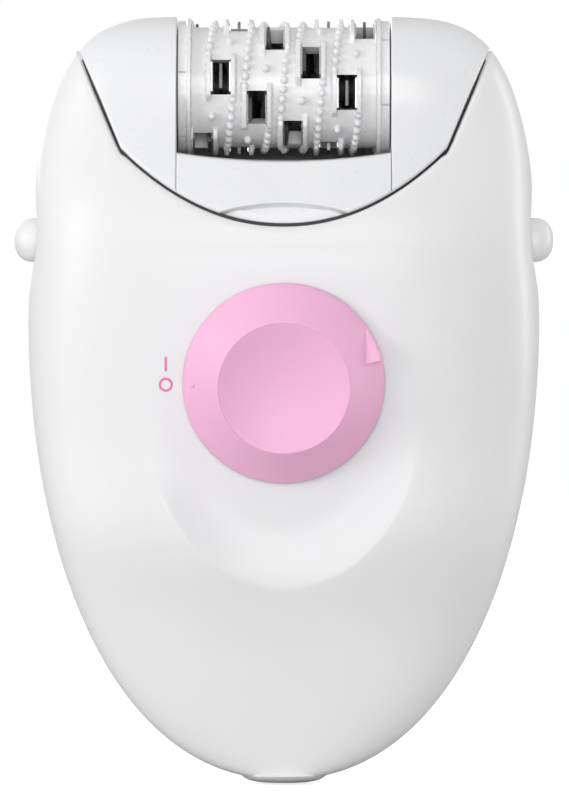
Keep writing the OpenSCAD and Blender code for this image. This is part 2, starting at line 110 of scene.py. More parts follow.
BUTTON_Z = 78.9
BUTTON_R = 3.2
BUTTON_X = 39.2
SPRING_X = 30.0
SPRING_LONG = 2.3
SPRING_TURNS = 3.5
SOCKET_Y = 1.2
SOCKET_HOLE_R = 4.5
COLLAR_IN = 4.45
COLLAR_OUT = 6.2
SCREWS = ((-27, 62), (27, 62), (-14, 24), (14, 24))
SCREW_HOLE_R = 2.4
PLATE_Y = 18.2
PLATE_Z = 38
PLATE_LEAN = math.radians(8.9)
PLATE_HALF = (12.95, 7.95)

CRATER_W = 19.8
CRATER_Z = 54
CRATER_H = 25.7
CRATER_FLAT = 0.63
SWELL = 2.1
SWELL_Z = 36
RAMP_LOW = 14.5
RAMP_HIGH = 60
RAMP_X = 11.8
RAMP_GAIN = 0.9
DOT_R = 13.05
DOT_SIZE = 0.42
MARK_X = -16.95
OPENING_MID_Z = 90.05
OPENING_SIDE_Z = 91.3
NOTCH_HALF = 9.6
NOTCH_Z = 82.6
NOTCH_RISE = 1.35
WELL_R = 10.5
ARM_GAP = 0.03
RIDGE_H = 1.15
BEADS = 8
BEAD_R = 0.55
CORE_R = 2.1
DISC_R = 6.3
CORE_HALF = 12.6
RING_R = 10.1
DECK_WALL = 1.4
DECK_END = 29.0
LATCH_LO, LATCH_HI = 24.7, 27.3
GEAR_LO, GEAR_HI = -22.5, -15.1


# ---------------------------------------------------------------- outline
def half_w(z):
    """Half the width at a height."""
    z = np.asarray(z, float)
    drop = np.clip(WIDE_Z - z, 0, None) / (WIDE_Z - 0.4)
    low = np.clip(1 - drop ** LOW_POWER, 0, None) ** (1 / LOW_POWER)
    high = np.clip(1 - ((z - WIDE_Z) / (TOTAL_H - WIDE_Z)) ** 2, 0, None) ** HIGH_POWER
    return HALF_W * np.where(z <= WIDE_Z, low, high)


def lower_depth(z, full, full_z, length, power):
    """Depth that shrinks below full_z, and would reach nothing a length further down."""
    drop = np.clip(full_z - z, 0, None) / length
    return full * np.clip(1 - drop ** power, 0, None) ** (1 / power)


def upper_depth(z, full, full_z):
    """Depth that shrinks above full_z to that of the cap over the drum."""
    swell = (1 + np.cos(math.pi * np.clip((z - full_z) / (DRUM_Z - full_z), 0, 1))) / 2
    cap = np.sqrt(np.clip(1 - (np.clip(z - DRUM_Z, 0, None) / (TOTAL_H - DRUM_Z)) ** 2, 0, None))
    return np.where(z < DRUM_Z, CAP_DEPTH + (full - CAP_DEPTH) * swell, CAP_DEPTH * cap)


def front_d(z):
    """Depth of the front half at a height."""
    z = np.asarray(z, float)
    low = lower_depth(z, FRONT_DEPTH, FRONT_FULL_Z, 82, 1.3) + 2.2 * np.clip(1 - z / 30, 0, None) ** 2
    return np.where(z < FRONT_FULL_Z, low, upper_depth(z, FRONT_DEPTH, FRONT_FULL_Z))


def rear_d(z):
    """Depth of the rear half at a height."""
    z = np.asarray(z, float)
    low = lower_depth(z, REAR_DEPTH, REAR_FULL_Z, 68.5, 1.9)
    return np.where(z < REAR_FULL_Z, low, upper_depth(z, REAR_DEPTH, REAR_FULL_Z))


def depth_share(x, z):
    """Depth at x as a share of the depth in the middle."""
    ratio = np.clip(np.abs(x) / np.maximum(half_w(z), 1e-6), 0, 1)
    return (1 - ratio ** BOXINESS) ** (1 / BOXINESS)


def part_line(x):
    """Height of the line between casing and head."""
    x = np.abs(x)
    return np.where(x <= KINK_X, PART_Z + PART_RISE * x ** PART_POWER, KINK_Z + EAR_SLOPE * (x - KINK_X))


def part_slope(x):
    """Slope of the parting line, blended at its kink."""
    x = np.abs(x)
    low = PART_RISE * PART_POWER * x ** (PART_POWER - 1)
    blend = np.clip((x - KINK_X + 0.8) / 1.6, 0, 1)
    return low * (1 - blend) + EAR_SLOPE * blend


def smooth_min(a, b, k):
    """The smaller of two values, rounded over a band of about k where they cross."""
    h = np.clip(0.5 + 0.5 * (b - a) / k, 0, 1)
    return b * (1 - h) + a * h - k * h * (1 - h)


def smooth_step(v):
    """Soft step from 0 to 1."""
    v = np.clip(v, 0, 1)
    return v * v * (3 - 2 * v)


# ---------------------------------------------------------------- meshes
def grid_faces(rows, cols, closed=False):
    """Faces between the points of a grid; closed joins its last column to its first."""
    faces = []
    last = cols if closed else cols - 1
    for i in range(rows - 1):
        for k in range(last):
            a, b = i * cols + k, i * cols + (k + 1) % cols
            faces.append((a, b, b + cols, a + cols))
    return faces


def new_piece(name, points, faces, angle=35):
    """Mesh object from points in millimetres, smooth except where faces meet at a sharp angle."""
    mesh = bpy.data.meshes.new(name)
    mesh.from_pydata([tuple(p) for p in np.asarray(points, float) * MM], [], faces)
    mesh.validate()
    piece = bpy.data.objects.new(name, mesh)
    scene.collection.objects.link(piece)
    tidy_mesh(piece, angle)
    return piece


def tidy_mesh(piece, angle):
    """Joins double points, turns all faces outwards and marks the sharp edges."""
    work = bmesh.new()
    work.from_mesh(piece.data)
    bmesh.ops.remove_doubles(work, verts=work.verts, dist=MERGE)
    bmesh.ops.dissolve_degenerate(work, edges=work.edges, dist=MERGE)
    bmesh.ops.recalc_face_normals(work, faces=work.faces)
    work.to_mesh(piece.data)
    work.free()
    piece.data.polygons.foreach_set("use_smooth", [True] * len(piece.data.polygons))
    piece.data.set_sharp_from_angle(angle=math.radians(angle))


def grid_normals(grid):
    """Unit normals at the points of a grid."""
    du = np.gradient(grid, axis=0)
    dv = np.gradient(grid, axis=1)
    n = np.cross(du, dv)
    return n / np.maximum(np.linalg.norm(n, axis=2, keepdims=True), 1e-9)


def shell_from_grids(outer, inner):
    """Closed wall between two grids of the same size, which are open on all four sides."""
    rows, cols = outer.shape[:2]
    size = rows * cols
    points = np.concatenate([outer.reshape(-1, 3), inner.reshape(-1, 3)])
    faces = grid_faces(rows, cols)
    faces += [tuple(v + size for v in face[::-1]) for face in faces]
    ring = list(range(cols))
    ring += [i * cols + cols - 1 for i in range(1, rows)]
    ring += [(rows - 1) * cols + k for k in range(cols - 2, -1, -1)]
    ring += [i * cols for i in range(rows - 2, 0, -1)]
    for a, b in zip(ring, ring[1:] + ring[:1]):
        faces.append((b, a, a + size, b + size))
    return points, faces


def cut_away(piece, cutters, angle):
    """Subtracts the cutters from a piece and removes them."""
    for cutter in cutters:
        cut = piece.modifiers.new(cutter.name, "BOOLEAN")
        cut.operation = "DIFFERENCE"
        cut.solver = "MANIFOLD"
        cut.object = cutter
    bpy.context.view_layer.update()
    graph = bpy.context.evaluated_depsgraph_get()
    mesh = bpy.data.meshes.new_from_object(piece.evaluated_get(graph))
    piece.modifiers.clear()
    piece.data = mesh
    for cutter in cutters:
        bpy.data.objects.remove(cutter)
    tidy_mesh(piece, angle)


def place_piece(piece, place):
    """Moves a piece's points by a matrix whose shift is in millimetres."""
    piece.data.transform(Matrix.Scale(MM, 4) @ place @ Matrix.Scale(1 / MM, 4))


def join(pieces, name):
    """One object from several, each a closed solid of its own."""
    work = bmesh.new()
    for piece in pieces:
        work.from_mesh(piece.data)
    mesh = bpy.data.meshes.new(name)
    work.to_mesh(mesh)
    work.free()
    for piece in pieces:
        bpy.data.objects.remove(piece)
    joined = bpy.data.objects.new(name, mesh)
    scene.collection.objects.link(joined)
    mesh.polygons.foreach_set("use_smooth", [True] * len(mesh.polygons))
    mesh.set_sharp_from_angle(angle=math.radians(35))
    return joined


def placed(points, place):
    """Points moved by a matrix whose shift is in millimetres."""
    return np.asarray(points) @ np.asarray(place.to_3x3()).T + np.asarray(place.translation)


def turned(name, outline, place, steps):
    """Solid turned about local Z from (radius, height) points that start and end at radius 0."""
    points = []
    faces = []
    rings = []
    for radius, height in outline:
        if radius < 1e-6:
            rings.append([len(points)])
            points.append((0, 0, height))
            continue
        rings.append([len(points) + k for k in range(steps)])
        for k in range(steps):
            a = 2 * math.pi * k / steps
            points.append((radius * math.cos(a), radius * math.sin(a), height))
    for low, high in zip(rings, rings[1:]):
        for k in range(steps):
            n = (k + 1) % steps
            if len(low) == 1 and len(high) == 1:
                continue
            if len(low) == 1:
                faces.append((low[0], high[n], high[k]))
            elif len(high) == 1:
                faces.append((low[k], low[n], high[0]))
            else:
                faces.append((low[k], low[n], high[n], high[k]))
    return new_piece(name, placed(points, place), faces)


def loop_turned(name, loop, place, steps):
    """Solid ring made by turning a closed outline of (radius, height) points about local Z."""
    angle = np.linspace(0, 2 * math.pi, steps, endpoint=False)
    grid = np.array([[(r * math.cos(a), r * math.sin(a), h) for a in angle] for r, h in loop + loop[:1]])
    points = placed(grid.reshape(-1, 3), place)
    return new_piece(name, points, grid_faces(len(grid), steps, closed=True))


def rod(name, start, end, radius, steps=48):
    """Closed cylinder between two places, in millimetres."""
    start, end = Vector(start), Vector(end)
    place = Matrix.Translation(start) @ (end - start).to_track_quat("Z", "Y").to_matrix().to_4x4()
    length = (end - start).length
    return turned(name, [(0, 0), (radius, 0), (radius, length), (0, length)], place, steps)


def block(name, low, high):
    """Box between two corners."""
    points = [[(low, high)[(i >> axis) & 1][axis] for axis in range(3)] for i in range(8)]
    faces = [(0, 2, 3, 1), (4, 5, 7, 6), (0, 1, 5, 4), (2, 6, 7, 3), (0, 4, 6, 2), (1, 3, 7, 5)]
    return new_piece(name, points, faces)


def show(piece, body, slot, material, *stands_for):
    """Gives a piece its material and body and hides the CAD nodes that it stands for; the slot is not
    used.
    """
    piece.data.materials.clear()
    piece.data.materials.append(material)
    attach(piece, body)
    if stands_for:
        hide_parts(*stands_for)


# ---------------------------------------------------------------- materials
def new_material(name, color, roughness, metallic=0.0):
    """A material with its nodes, links and shader."""
    material = bpy.data.materials.new(name)
    material.use_nodes = True
    shader = material.node_tree.nodes["Principled BSDF"]
    shader.inputs["Base Color"].default_value = (*color, 1)
    shader.inputs["Roughness"].default_value = roughness
    shader.inputs["Metallic"].default_value = metallic
    return material, material.node_tree.nodes, material.node_tree.links, shader


def object_noise(tree_nodes, tree_links, scale, detail=3):
    """Noise that stays with the object."""
    place = tree_nodes.new("ShaderNodeTexCoord")
    noise = tree_nodes.new("ShaderNodeTexNoise")
    noise.inputs["Scale"].default_value = scale
    noise.inputs["Detail"].default_value = detail
    tree_links.new(place.outputs["Object"], noise.inputs["Vector"])
    return noise


def vary(tree_nodes, tree_links, noise, socket, low, high):
    """Drives a number on the shader by noise, between low and high."""
    spread = tree_nodes.new("ShaderNodeMapRange")
    spread.inputs["From Min"].default_value = 0.3
    spread.inputs["From Max"].default_value = 0.7
    spread.inputs["To Min"].default_value = low
    spread.inputs["To Max"].default_value = high
    tree_links.new(noise.outputs["Fac"], spread.inputs["Value"])
    tree_links.new(spread.outputs["Result"], socket)


def tint(tree_nodes, tree_links, noise, socket, dark, light):
    """Drives a colour on the shader by noise, between dark and light."""
    ramp = tree_nodes.new("ShaderNodeValToRGB")
    ramp.color_ramp.elements[0].position = 0.35
    ramp.color_ramp.elements[0].color = (*dark, 1)
    ramp.color_ramp.elements[1].position = 0.65
    ramp.color_ramp.elements[1].color = (*light, 1)
    tree_links.new(noise.outputs["Fac"], ramp.inputs["Fac"])
    tree_links.new(ramp.outputs["Color"], socket)


def grain(tree_nodes, tree_links, shader):
    """Fine moulded surface texture."""
    noise = object_noise(tree_nodes, tree_links, 2600, 2)
    bump = tree_nodes.new("ShaderNodeBump")
    bump.inputs["Strength"].default_value = 0.05
    bump.inputs["Distance"].default_value = 0.00002
    tree_links.new(noise.outputs["Fac"], bump.inputs["Height"])
    tree_links.new(bump.outputs["Normal"], shader.inputs["Normal"])


def moulded(name, dark, light, roughness, coat=0.0):
    """Moulded plastic: faint clouding, slightly uneven gloss and a fine grain."""
    material, tree_nodes, tree_links, shader = new_material(name, light, roughness)
    shader.inputs["Coat Weight"].default_value = coat
    shader.inputs["Coat Roughness"].default_value = 0.12
    broad = object_noise(tree_nodes, tree_links, 55)
    tint(tree_nodes, tree_links, broad, shader.inputs["Base Color"], dark, light)
    fine = object_noise(tree_nodes, tree_links, 900)
    vary(tree_nodes, tree_links, fine, shader.inputs["Roughness"], roughness - 0.03, roughness + 0.03)
    grain(tree_nodes, tree_links, shader)
    return material


def metal(name, dark, light, roughness):
    """Metal with a slight stain and uneven gloss."""
    material, tree_nodes, tree_links, shader = new_material(name, light, roughness, metallic=1.0)
    broad = object_noise(tree_nodes, tree_links, 400)
    tint(tree_nodes, tree_links, broad, shader.inputs["Base Color"], dark, light)
    fine = object_noise(tree_nodes, tree_links, 2400)
    vary(tree_nodes, tree_links, fine, shader.inputs["Roughness"], roughness - 0.05, roughness + 0.07)
    return material


white = moulded("white_gloss", (0.83, 0.83, 0.84), (0.85, 0.85, 0.86), 0.42, coat=0.08)
head_white = moulded("white_head", (0.83, 0.835, 0.85), (0.85, 0.855, 0.865), 0.3, coat=0.2)
pink = moulded("pink_gloss", (0.91, 0.48, 0.71), (0.92, 0.49, 0.72), 0.45)
drum_white = moulded("drum_white", (0.8, 0.8, 0.81), (0.84, 0.84, 0.85), 0.28, coat=0.3)
inner_white = moulded("inner_plastic", (0.62, 0.62, 0.63), (0.7, 0.7, 0.7), 0.5)
gear_white = moulded("gear_plastic", (0.72, 0.7, 0.64), (0.78, 0.76, 0.7), 0.4)
dark_plastic = moulded("dark_plastic", (0.012, 0.012, 0.013), (0.02, 0.02, 0.022), 0.5)
mark_pink = moulded("mark_print", (0.8, 0.17, 0.4), (0.84, 0.2, 0.43), 0.5)
board_green = moulded("board_mask", (0.01, 0.08, 0.03), (0.015, 0.11, 0.04), 0.35)
wire_cover = moulded("wire_cover", (0.4, 0.02, 0.02), (0.5, 0.03, 0.03), 0.45)
tweezer_steel = metal("tweezer_steel", (0.12, 0.12, 0.125), (0.2, 0.2, 0.21), 0.4)
bright_steel = metal("bright_steel", (0.8, 0.8, 0.81), (0.9, 0.9, 0.91), 0.3)
pin_steel = metal("pin_steel", (0.5, 0.5, 0.5), (0.62, 0.62, 0.62), 0.22)
can_steel = metal("can_steel", (0.5, 0.5, 0.5), (0.66, 0.66, 0.66), 0.35)
magnet_black = moulded("magnet", (0.02, 0.02, 0.02), (0.04, 0.04, 0.04), 0.6)
winding = metal("winding", (0.5, 0.18, 0.06), (0.7, 0.3, 0.1), 0.4)
brass = metal("brass", (0.62, 0.42, 0.16), (0.75, 0.55, 0.25), 0.3)
# painted shade: grey for the trough under the drum, standing in for the shade inside the white head
painted_shade_grey = moulded("painted_shade_grey", (0.3, 0.3, 0.305), (0.34, 0.34, 0.345), 0.5)
# painted shade: near-black for the drum's spindle and discs, standing in for the shade inside the drum
core_shade_grey = moulded("core_shade_grey", (0.07, 0.07, 0.072), (0.09, 0.09, 0.092), 0.5)
SLOT_MATERIALS = {
    "white_plastic": white,
    "pink_plastic": pink,
    "drum_plastic": drum_white,
    "inner_plastic": inner_white,
    "gear_plastic": gear_white,
    "dark_plastic": dark_plastic,
    "socket_plastic": inner_white,
    "plate_steel": tweezer_steel,
    "pin_steel": pin_steel,
    "can_steel": can_steel,
    "magnet": magnet_black,
    "winding": winding,
    "brass": brass,
    "board": board_green,
    "wire": wire_cover,
}


def dress_cad_nodes():
    """Every CAD node gets its slot's material, and the fixed plates a brighter steel."""
    for part in frame["record"]["subparts"]:
        piece = nodes[part["node"]]
        piece.data.materials.clear()
        piece.data.materials.append(SLOT_MATERIALS[part["material_slot"]])
    nodes["fixed_plates"].data.materials[0] = bright_steel


# ---------------------------------------------------------------- casing
def round_in(distance, width, height):
    """How far a surface sinks at a distance from its edge, for a rounded edge."""
    near = 1 - np.clip(distance / width, 0, 1)
    return height * (1 - np.sqrt(np.clip(1 - near ** 2, 0, 1)))


def section(a):
    """Place on the unit superellipse that every level of the casing follows."""
    return np.sign(np.cos(a)) * np.abs(np.cos(a)) ** (2 / BOXINESS), np.abs(np.sin(a)) ** (2 / BOXINESS)


def even_columns(count):
    """Superellipse directions from side seam to side seam, even along a section 37 mm by 17 mm."""
    a = np.linspace(0, math.pi, 6000)
    c, s = section(a)
    step = np.hypot(np.diff(c) * 37, np.diff(s) * 17)
    length = np.concatenate([[0], np.cumsum(step)])
    pick = np.interp(np.linspace(0, length[-1], count), length, a)
    pick[0], pick[-1] = 0, math.pi
    c, s = section(pick)
    s[0] = s[-1] = 0
    c[count // 2] = 0
    return c, s


def column_top(c, gap):
    """Height at which each column meets the line under the head."""
    low, high = np.full(len(c), 60.0), np.full(len(c), 111.0)
    for _ in range(50):
        mid = (low + high) / 2
        x = half_w(mid) * np.abs(c)
        limit = part_line(x) - gap * np.sqrt(1 + part_slope(x) ** 2)
        below = mid < limit
        low, high = np.where(below, mid, low), np.where(below, high, mid)
    return (low + high) / 2


def swell(z):
    """Extra fullness of the front around the lower rim of the crater."""
    return SWELL * np.exp(-((z - SWELL_Z) / 10) ** 2)


def crater(depth, x, z):
    """Sinks the flat around the knob; its wall is steepest at the crisp rim, at the sides and below."""
    flat = KNOB_Y + (z - KNOB_Z) * math.tan(KNOB_LEAN)
    share = np.hypot(x / CRATER_W, (z - CRATER_Z) / CRATER_H)
    wall = (np.clip(share - CRATER_FLAT, 0, None) / (1 - CRATER_FLAT)) ** 1.8
    wall = wall * smooth_step((CRATER_Z + 14 - z) / 12)
    return smooth_min(depth, flat + np.clip(depth - flat, 0, None) * wall, 0.08)


def front_surface(x, z):
    """How far the front casing stands out at x and z."""
    return crater((front_d(z) + swell(z)) * depth_share(x, z), x, z)


def casing_surface(c, s, z, top, side, inset):
    """Points of one half of the casing; side is -1 at the front and 1 at the back."""
    x = half_w(z) * c
    depth = (front_d(z) if side < 0 else rear_d(z)) * s
    edge = (top - z) / np.sqrt(1 + part_slope(x) ** 2)
    lip_w = 1.1 - 0.3 * smooth_step(np.abs(x) / 30)
    depth = depth - round_in(edge, lip_w, 0.5 * lip_w) * smooth_step(depth / 4)
    if side < 0:
        depth = depth + swell(z) * s
        depth = np.where(depth > 6, crater(depth, x, z), depth)
    else:
        depth = np.minimum(depth, REST_Y)
    scoop = 1.3 * np.exp(-((z - BUTTON_Z) / 6.0) ** 2) * np.exp(-(depth / 7.0) ** 2)
    x = x - np.sign(c) * scoop * smooth_step(np.abs(c) * 3 - 2)
    x = x - np.sign(c) * inset * np.abs(c) ** 2
    return np.stack([x, side * (depth - inset * s), z], axis=-1)


def casing_half(name, side, cols, rows):
    """One half of the casing, with rows packed more closely at the foot and at the top."""
    c, s = even_columns(cols)
    top = column_top(c, SEAM)
    share = np.linspace(0, 1, rows)
    share = np.where(share < 0.15, share * (0.5 + share / 0.3), share)
    share = 1 - (1 - share) ** 1.25
    z = FOOT_Z + (top[None, :] - FOOT_Z) * share[:, None]
    c2, s2 = np.broadcast_to(c, z.shape), np.broadcast_to(s, z.shape)
    outer = casing_surface(c2, s2, z, top[None, :], side, 0)
    inner_z = z + WALL * np.clip(1 - (z - FOOT_Z) / 8, 0, 1)
    inner = casing_surface(c2, s2, inner_z, top[None, :], side, WALL)
    outer[..., 1] += side * HALF_SEAM
    inner[..., 1] = np.where(side * inner[..., 1] < HALF_SEAM, side * HALF_SEAM, inner[..., 1])
    points, faces = shell_from_grids(outer, inner)
    return new_piece(name, points, faces, 50)


def deck_strip(name, side, gap, wall, x_lo, x_hi, y_in):
    """Slab under the parting line from a casing's wall in to y_in, between two places across."""
    xs = np.linspace(x_lo, x_hi, max(3, int((x_hi - x_lo) / 1.2)))
    slope = np.sqrt(1 + part_slope(xs) ** 2)
    top = part_line(xs) - gap * slope
    depth = (front_d(top) if side < 0 else rear_d(top)) * depth_share(xs, top) - 0.8
    depth = np.maximum(depth, y_in + 0.1)
    low = top - wall * slope
    inner = np.full_like(xs, side * y_in)
    upper = np.stack([np.stack([xs, side * depth, top], -1), np.stack([xs, inner, top], -1)])
    lower = upper.copy()
    lower[..., 2] = low
    points, faces = shell_from_grids(upper, lower)
    return new_piece(name, points, faces)


def deck(side):
    """The casing's deck under the head, left open for the latch legs and for the gears."""
    spans = [(-DECK_END, -LATCH_HI, 0.05), (-LATCH_HI, -LATCH_LO, 3.8), (-LATCH_LO, GEAR_LO, 0.05),
             (GEAR_LO, GEAR_HI, 10.3), (GEAR_HI, LATCH_LO, 0.05), (LATCH_LO, LATCH_HI, 3.8),
             (LATCH_HI, DECK_END, 0.05)]
    return [deck_strip(f"deck{i}", side, SEAM, DECK_WALL, *span) for i, span in enumerate(spans)]


def build_gap_shade_strip():
    """Dark strip that runs along the gap under the head, set back from the surface; its dark plastic is
    painted shade for the gap.
    """
    strips = []
    for side in (-1, 1):
        xs = np.linspace(-29.2, 29.2, 160)
        slope = np.sqrt(1 + part_slope(xs) ** 2)
        top = part_line(xs) - 0.05 * slope
        depth = (front_d(top) if side < 0 else rear_d(top)) * depth_share(xs, top)
        outer, inner = np.maximum(depth - 0.5, 0.12), np.maximum(depth - 1.9, 0.06)
        upper = np.stack([np.stack([xs, side * reach, top], -1) for reach in (outer, inner)])
        lower = upper.copy()
        lower[..., 2] = top - 0.42 * slope
        strips.append(new_piece("gap_shade_piece", *shell_from_grids(upper, lower)))
    # painted shade: the dark strip stands in for the shadow inside the gap under the head
    show(join(strips, "painted_gap_shade"), "housing", "dark_plastic", dark_plastic)


def knob_place():
    """Frame with X to the right, Y up the knob's flat and Z out along its axis."""
    lean = Matrix.Rotation(math.radians(90) + KNOB_LEAN, 4, "X")
    return Matrix.Translation((0, -KNOB_Y, KNOB_Z)) @ lean


def rear_plate_place():
    """Frame of the blank rear plate, with Z out of the casing."""
    lean = Matrix.Rotation(math.radians(-90) - PLATE_LEAN, 4, "X")
    return Matrix.Translation((0, PLATE_Y, PLATE_Z)) @ lean


def shared_cutters():
    """The button holes and the socket's hole run through both halves."""
    cutters = [rod("button_hole", (side * 31, 0, BUTTON_Z), (side * 45, 0, BUTTON_Z), BUTTON_R + 0.12)
               for side in (-1, 1)]
    return cutters + [rod("socket_hole", (0, SOCKET_Y, -2), (0, SOCKET_Y, 6.5), SOCKET_HOLE_R)]


def screw_cutters():
    """Sunk holes for the screws in the rear half."""
    cutters = []
    for x, z in SCREWS:
        back = float(rear_d(z) * depth_share(x, z))
        cutters.append(rod("screw_hole", (x, back - 5.3, z), (x, back + 4, z), SCREW_HOLE_R, 64))
    return cutters


def build_front_casing():
    """Front half, with holes for the buttons, the socket and the knob's shaft."""
    shell = casing_half("front_shell", -1, 321, 360)
    start, end = (knob_place() @ Vector((0, 0, height)) for height in (-6, 3))
    cut_away(shell, shared_cutters() + [rod("knob_hole", start, end, KNOB_HOLE_R)], 50)
    shell = join([shell] + deck(-1), "front_shell")
    show(shell, "housing", "white_plastic", white, "front_casing")


def build_rear_casing():
    """Rear half, with the recess of its blank plate and the screw holes."""
    shell = casing_half("rear_shell", 1, 181, 200)
    half_x, half_y = PLATE_HALF
    recess = block("recess", (-half_x, -half_y, -0.05), (half_x, half_y, 6))
    place_piece(recess, rear_plate_place())
    cut_away(shell, shared_cutters() + screw_cutters() + [recess], 50)
    shell = join([shell] + deck(1), "rear_shell")
    show(shell, "housing", "white_plastic", white, "rear_casing")


def build_socket_collar():
    """Shallow collar round the power socket, set a little further forward towards its rim."""
    outline = [(COLLAR_IN, 1.15), (6.1, 1.15), (COLLAR_OUT, 1.02), (5.95, 0.7), (5.5, 0.42), (5.0, 0.22),
               (COLLAR_IN, 0.08)]
    angle = np.linspace(0, 2 * math.pi, 128, endpoint=False)
    rings = []
    for radius, height in outline + outline[:1]:
        middle = SOCKET_Y - 0.75 * (radius - COLLAR_IN) / (COLLAR_OUT - COLLAR_IN)
        y = middle + radius * np.sin(angle)
        rings.append(np.stack([radius * np.cos(angle), y, np.full_like(angle, height)], -1))
    points = np.concatenate(rings)
    collar = new_piece("socket_collar", points, grid_faces(len(rings), len(angle), closed=True))
    show(collar, "housing", "white_plastic", white)


def lay_on_front(piece, x, z):
    """Wraps a small flat piece, drawn at the origin facing forward, onto the casing at x and z."""
    for vertex in piece.data.vertices:
        px, py, pz = vertex.co / MM
        vertex.co = Vector((x + px, py - float(front_surface(x + px, z + pz)), z + pz)) * MM
    return piece


def build_marks():
    """A ring and a bar beside the knob, the usual signs for off and on."""
    ring = loop_turned("off_mark", [(1.02, -0.1), (1.02, 0.09), (0.68, 0.09), (0.68, -0.1)],
                       Matrix.Rotation(math.radians(90), 4, "X"), 64)
    bar = block("on_mark", (-0.17, -0.09, 1.9), (0.17, 0.1, 4.0))
    for mark in (ring, bar):
        show(lay_on_front(mark, MARK_X, KNOB_Z - 0.3), "housing", "pink_plastic", mark_pink)


# ---------------------------------------------------------------- knob
def bevel_slope():
    """Fall of the knob's bevel for each millimetre outwards."""
    return (KNOB_H - KNOB_EDGE) / (KNOB_R - 0.2 - DISH_R)


def knob_height(radius, angle):
    """Height of the knob's face: a cone, a rounded rim, a hollow middle and a ramp at one side."""
    x = radius * np.cos(angle)
    cone = KNOB_EDGE + bevel_slope() * (KNOB_R - 0.2 - radius)
    step_angle = np.degrees(angle)
    on_ramp = (step_angle > RAMP_LOW) & (step_angle < RAMP_HIGH)
    cone = cone + np.where(on_ramp, RAMP_GAIN * np.clip(x - RAMP_X, 0, None), 0)
    hollow = KNOB_H - 0.15 - DISH_DEPTH * (1 - (radius / DISH_R) ** 2)
    height = np.where(radius > DISH_R, cone, hollow)
    rim = np.exp(-((radius - DISH_R) / 0.22) ** 2)
    edge = np.clip((radius - KNOB_R + 0.35) / 0.35, 0, 1)
    return height - 0.06 * rim - 0.35 * (1 - np.sqrt(1 - edge ** 2))


def knob_dot():
    """Small raised dot on the bevel, on the side of the switch marks."""
    dome = [(DOT_SIZE * math.cos(a), 0.34 * math.sin(a)) for a in np.linspace(0, math.pi / 2, 9)]
    height = float(knob_height(np.array(DOT_R), np.array(math.pi)))
    tilt = Matrix.Rotation(-math.atan(bevel_slope()), 4, "Y")
    place = knob_place() @ Matrix.Translation((-DOT_R, 0, height)) @ tilt
    return turned("dot", [(0, -0.3), (DOT_SIZE, -0.3)] + dome, place, 32)


def build_knob():
    """Turn knob: its face, a hollow underside and the dot."""
    steps = 720
    inner = np.linspace(0.02, DISH_R - 0.4, 60)
    rim = np.linspace(DISH_R - 0.35, DISH_R + 0.45, 17)
    outer = np.linspace(DISH_R + 0.55, KNOB_R - 0.4, 60)
    edge = KNOB_R - 0.35 + 0.35 * np.sin(np.linspace(0, math.pi / 2, 12))
    radii = np.concatenate([inner, rim, outer, edge])
    around = np.radians(np.linspace(0, 360, steps, endpoint=False))
    foot_of_ramp = np.argmin(np.abs(around - math.radians(RAMP_LOW)))
    around[foot_of_ramp] = math.radians(RAMP_LOW - 0.02)
    radius, angle = np.meshgrid(radii, around, indexing="ij")
    top = np.stack([radius * np.cos(angle), radius * np.sin(angle), knob_height(radius, angle)], -1)
    under = [(KNOB_R, KNOB_UNDER), (KNOB_R - 1.6, KNOB_UNDER), (KNOB_R - 1.6, 1.25), (0.02, 1.25)]
    skirt = [np.stack([r * np.cos(around), r * np.sin(around), np.full_like(around, h)], -1)
             for r, h in under]
    grid = np.concatenate([top, np.array(skirt)])
    rows = len(grid)
    faces = grid_faces(rows, steps, closed=True)
    faces += [tuple(range(steps)), tuple((rows - 1) * steps + k for k in range(steps - 1, -1, -1))]
    knob = new_piece("turn_knob", placed(grid.reshape(-1, 3), knob_place()), faces, 24)
    show(join([knob, knob_dot()], "turn_knob"), "knob", "pink_plastic", pink, "control_knob")


# ---------------------------------------------------------------- head
def top_z(x):
    """Height of the outline above its widest level."""
    ratio = np.clip(np.abs(x) / HALF_W, 0, 1)
    return WIDE_Z + (TOTAL_H - WIDE_Z) * np.sqrt(1 - ratio ** (1 / HIGH_POWER))


def sink(grid, amount, outward):
    """Moves a grid's points inwards along its normals."""
    normals = grid_normals(grid)
    facing = np.sign(np.sum(normals * outward, axis=-1, keepdims=True))
    return grid - normals * facing * amount[..., None]


def arm_curve(x, count):
    """Places around an arm at x, evenly spaced: up the front, over the top and down the back."""
    low, high = float(part_line(x)), float(top_z(x))
    z = low + (high - low) * (1 - (1 - np.linspace(0, 1, 500)) ** 3)
    halves = []
    for side, depth_of in ((-1, front_d), (1, rear_d)):
        y = side * depth_of(z) * depth_share(x, z)
        length = np.concatenate([[0], np.cumsum(np.hypot(np.diff(y), np.diff(z)))])
        even = np.linspace(0, length[-1], count)
        halves.append(np.stack([np.interp(even, length, y), np.interp(even, length, z)], -1))
    return np.concatenate([halves[0], halves[1][::-1][1:]])


def ear_limit():
    """Distance across at which the head's covers end in a point."""
    x = np.linspace(EAR_X - 2, EAR_X + 2, 4000)
    return float(x[np.argmax(part_line(x) > top_z(x) - 0.3)])


